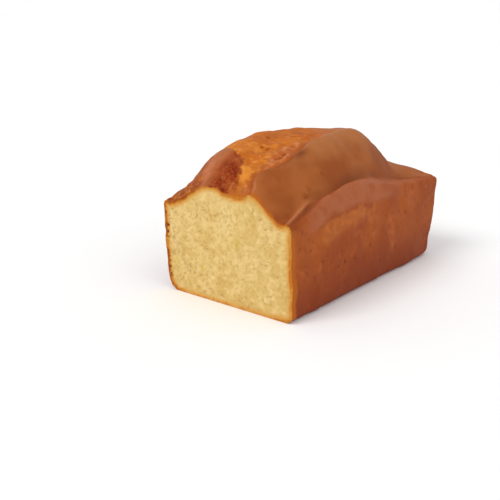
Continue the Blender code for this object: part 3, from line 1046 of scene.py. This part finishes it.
def crack_colour(material, uneven, middling, small, relief):
    """The crack's crumbs, golden near the cut and amber further back, with painted light on the raised
    crumbs, painted shade between them and painted highlights scattered at random.
    """
    lit = between(material, sum_of(material, uneven, relief, RAISED_IN_CRACK), *CRACK_MIX)
    golden = blend(material, lit, GOLD_DARK, GOLD)
    # Painted highlights scattered at random over the golden crumbs.
    golden = mottled(material, small, GOLD_HIGHLIGHT_MIX, golden, GOLD_HIGHLIGHT)
    amber = blend(material, lit, AMBER_DARK, AMBER)
    browned = sum_of(material, stored(material, "orange"), middling, AMBER_RAGGED)
    return mottled(material, browned, AMBER_MIX, golden, amber)


def crust_finish():
    """Baked crust: brown plates, red-brown lobes, a golden torn crack and darker walls near the base."""
    material, shader = surface("baked crust", CRUST_ROUGHNESS)
    broad = blotches(material, *CRUST_BROAD)
    middling = blotches(material, *CRUST_MIDDLING)
    small = blotches(material, *CRUST_SMALL)
    fine = blotches(material, *CRUST_FINE)
    uneven = sum_of(material, times(material, middling, HALF), small, HALF)
    relief = stored(material, "relief")
    height = stored(material, "height")
    walls = wall_colour(material, broad, middling, small, height)
    plates = plate_colour(material, broad, middling, height)
    colour = blend(material, stored(material, "top"), walls, plates)
    # Painted sheen on the band of the right shoulder.
    shoulder = times(material, stored(material, "shoulder"), between(material, middling, *SHOULDER_SHEEN_MIX))
    colour = blend(material, shoulder, colour, SHOULDER_SHEEN)
    smear = mottled(material, small, PATCH_MIX, PATCH_BROWN, PATCH_ORANGE)
    colour = blend(material, ragged(material, "patch", middling), colour, smear)
    # Pink on the outer lobes and the plate's edge, and painted highlights on the dark lobes' ridges.
    colour = blend(material, ragged(material, "blush_and_highlight", small), colour, BLUSH_PINK_AND_HIGHLIGHT)
    lobes = lobe_colour(material, uneven, small, fine, relief)
    colour = blend(material, ragged(material, "lobe", uneven), colour, lobes)
    # The bank is mottled at random and painted paler on its raised lumps as painted light.
    bank = mottled(material, sum_of(material, small, relief, RAISED_ON_BANK), BANK_MIX, BANK_BROWN, BANK_PALE)
    colour = blend(material, ragged(material, "bank", middling), colour, bank)
    crumbs = crack_colour(material, uneven, middling, small, relief)
    colour = blend(material, ragged(material, "golden", uneven), colour, crumbs)
    # Painted highlight along the plate's lip over the shoulder.
    colour = blend(material, times(material, stored(material, "lip"), LIP_HIGHLIGHT_STRENGTH), colour, LIP_HIGHLIGHT_TAN)
    colour = blend(material, ragged(material, "near_cut", small), colour, CUT_EDGE_ORANGE)
    torn = mottled(material, small, TORN_MIX, TORN_DARK, TORN_TAN)
    colour = blend(material, ragged(material, "torn", small), colour, torn)
    colour = blend(material, stored(material, "shadow"), colour, SHADOW_BROWN)
    flecks = times(material, between(material, fine, *FLECKS_MIX), between(material, middling, *FLECKS_WHERE))
    feed(material, shader.inputs["Base Color"], blend(material, flecks, colour, FLECK_BROWN))
    finest = blotches(material, *CRUST_FINEST)
    grainy(material, shader, sum_of(material, fine, finest, HALF), *CRUST_GRAIN)
    return material


def crumb_finish():
    """Cut crumb: pale yellow and porous, with a golden-orange band under the crust."""
    material, shader = surface("cut crumb", CRUMB_ROUGHNESS)
    broad = blotches(material, *CRUMB_BROAD)
    middling = blotches(material, *CRUMB_MIDDLING)
    fine = blotches(material, *CRUMB_FINE)
    pores = stored(material, "pore")
    colour = mottled(material, broad, CRUMB_MIX, CRUMB_YELLOW, CRUMB_PALE)
    colour = mottled(material, fine, CRUMB_GRAIN_MIX, CRUMB_GRAIN, colour)
    # Painted shade on the crumb toward the cut's right side and its foot.
    colour = blend(material, times(material, stored(material, "crumb_shade"), CRUMB_SHADE_STRENGTH), colour, CRUMB_SHADE)
    colour = mottled(material, middling, CRUMB_LIGHT_MIX, colour, CRUMB_LIGHT)
    # Painted shade in the pores, darker where they are deeper.
    colour = mottled(material, pores, PORE_SHADE_MIX, colour, PORE_SHADE)
    colour = blend(material, stored(material, "fruit"), colour, FRUIT_GREEN)
    depth = sum_of(material, stored(material, "from_crust"), middling, -BAND_RAGGED)
    depth = sum_of(material, depth, stored(material, "band"), -1.0)
    band = between(material, depth, *BAND_GOLD_DEPTH)
    colour = blend(material, band, colour, BAND_GOLD)
    colour = mottled(material, depth, BAND_BAKED_DEPTH, colour, BAND_BAKED)
    skin = times(material, between(material, depth, *SKIN_DEPTH), stored(material, "dry_rim"))
    colour = blend(material, skin, colour, SKIN_BROWN)
    bubbles = times(material, between(material, pores, *BUBBLE_MIX), band)
    feed(material, shader.inputs["Base Color"], blend(material, bubbles, colour, BUBBLE_BROWN))
    grainy(material, shader, fine, *CUT_GRAIN)
    return material


def dressed_loaf():
    shape = fine_loaf()
    shape_loaf(shape)
    mesh = bpy.data.meshes.new("banana_loaf")
    shape.to_mesh(mesh)
    shape.free()
    mesh.materials.append(crust_finish())
    mesh.materials.append(crumb_finish())
    loaf = bpy.data.objects.new("banana_loaf", mesh)
    bpy.context.scene.collection.objects.link(loaf)
    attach(loaf, "root")
    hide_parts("loaf")


# ---------------------------------------------------------------- studio

FLOOR_SIDE = 60.0
# The camera's place round the loaf in degrees, and its distance and target in metres.
CAMERA_TURN = 40.0
CAMERA_RISE = 17.59
CAMERA_ROLL = -0.55
CAMERA_DISTANCE = 0.47793
CAMERA_TARGET = (0.02165, CUT_AT * MM, 0.04256)
CAMERA_NEAREST = 0.01
SENSOR = 36.0
FOCAL_SHARE = 755.74 / 500
# Each light's turn round the loaf, rise, softness and strength.
KEY_LIGHT = (-20, 48, 30, 1.15)
FILL_LIGHT = (80, 42, 50, 0.4)
# The sky is white at the skyline and greyer from this height on.
SKYLINE = 0.04
SKY_TOP = 0.3
SKY_WHITE = (1, 1, 1, 1)
SKY_GREY = (0.72, 0.72, 0.72, 1)


def studio_floor():
    floor = bmesh.new()
    bmesh.ops.create_grid(floor, x_segments=1, y_segments=1, size=FLOOR_SIDE / 2)
    mesh = bpy.data.meshes.new("floor")
    floor.to_mesh(mesh)
    floor.free()
    material, shader = surface("pale floor", FLOOR_ROUGHNESS)
    shader.inputs["Base Color"].default_value = FLOOR_PALE
    mesh.materials.append(material)
    stage = bpy.data.objects.new("floor", mesh)
    bpy.context.scene.collection.objects.link(stage)


def soft_light(name, turn, rise, softness, strength):
    light = bpy.data.lights.new(name, "SUN")
    light.angle = math.radians(softness)
    light.energy = strength
    lamp = bpy.data.objects.new(name, light)
    around = math.radians(turn)
    up = math.radians(rise)
    towards = Vector((math.sin(around) * math.cos(up), -math.cos(around) * math.cos(up), math.sin(up)))
    lamp.rotation_euler = towards.to_track_quat("Z", "Y").to_euler()
    bpy.context.scene.collection.objects.link(lamp)


def studio_sky():
    world = bpy.data.worlds.new("studio")
    world.use_nodes = True
    nodes = world.node_tree.nodes
    links = world.node_tree.links
    direction = nodes.new("ShaderNodeTexCoord")
    parts = nodes.new("ShaderNodeSeparateXYZ")
    ramp = nodes.new("ShaderNodeValToRGB")
    links.new(direction.outputs["Generated"], parts.inputs["Vector"])
    links.new(parts.outputs["Z"], ramp.inputs["Fac"])
    links.new(ramp.outputs["Color"], nodes["Background"].inputs["Color"])
    skyline, top = ramp.color_ramp.elements
    skyline.position = SKYLINE
    skyline.color = SKY_WHITE
    top.position = SKY_TOP
    top.color = SKY_GREY
    bpy.context.scene.world = world


def studio_camera():
    turn = math.radians(CAMERA_TURN)
    rise = math.radians(CAMERA_RISE)
    roll = math.radians(CAMERA_ROLL)
    back = Vector((math.sin(turn) * math.cos(rise), -math.cos(turn) * math.cos(rise), math.sin(rise)))
    level_right = Vector((math.cos(turn), math.sin(turn), 0))
    level_up = back.cross(level_right)
    right = level_right * math.cos(roll) + level_up * math.sin(roll)
    up = level_up * math.cos(roll) - level_right * math.sin(roll)
    settings = bpy.data.cameras.new("camera")
    settings.sensor_width = SENSOR
    settings.lens = SENSOR * FOCAL_SHARE
    settings.clip_start = CAMERA_NEAREST
    camera = bpy.data.objects.new("camera", settings)
    turned = Matrix((right, up, back)).transposed().to_4x4()
    camera.matrix_world = Matrix.Translation(Vector(CAMERA_TARGET) + back * CAMERA_DISTANCE) @ turned
    bpy.context.scene.collection.objects.link(camera)
    bpy.context.scene.camera = camera


dressed_loaf()
studio_floor()
soft_light("key", *KEY_LIGHT)
soft_light("fill", *FILL_LIGHT)
studio_sky()
studio_camera()
bpy.context.scene.view_settings.view_transform = "Standard"
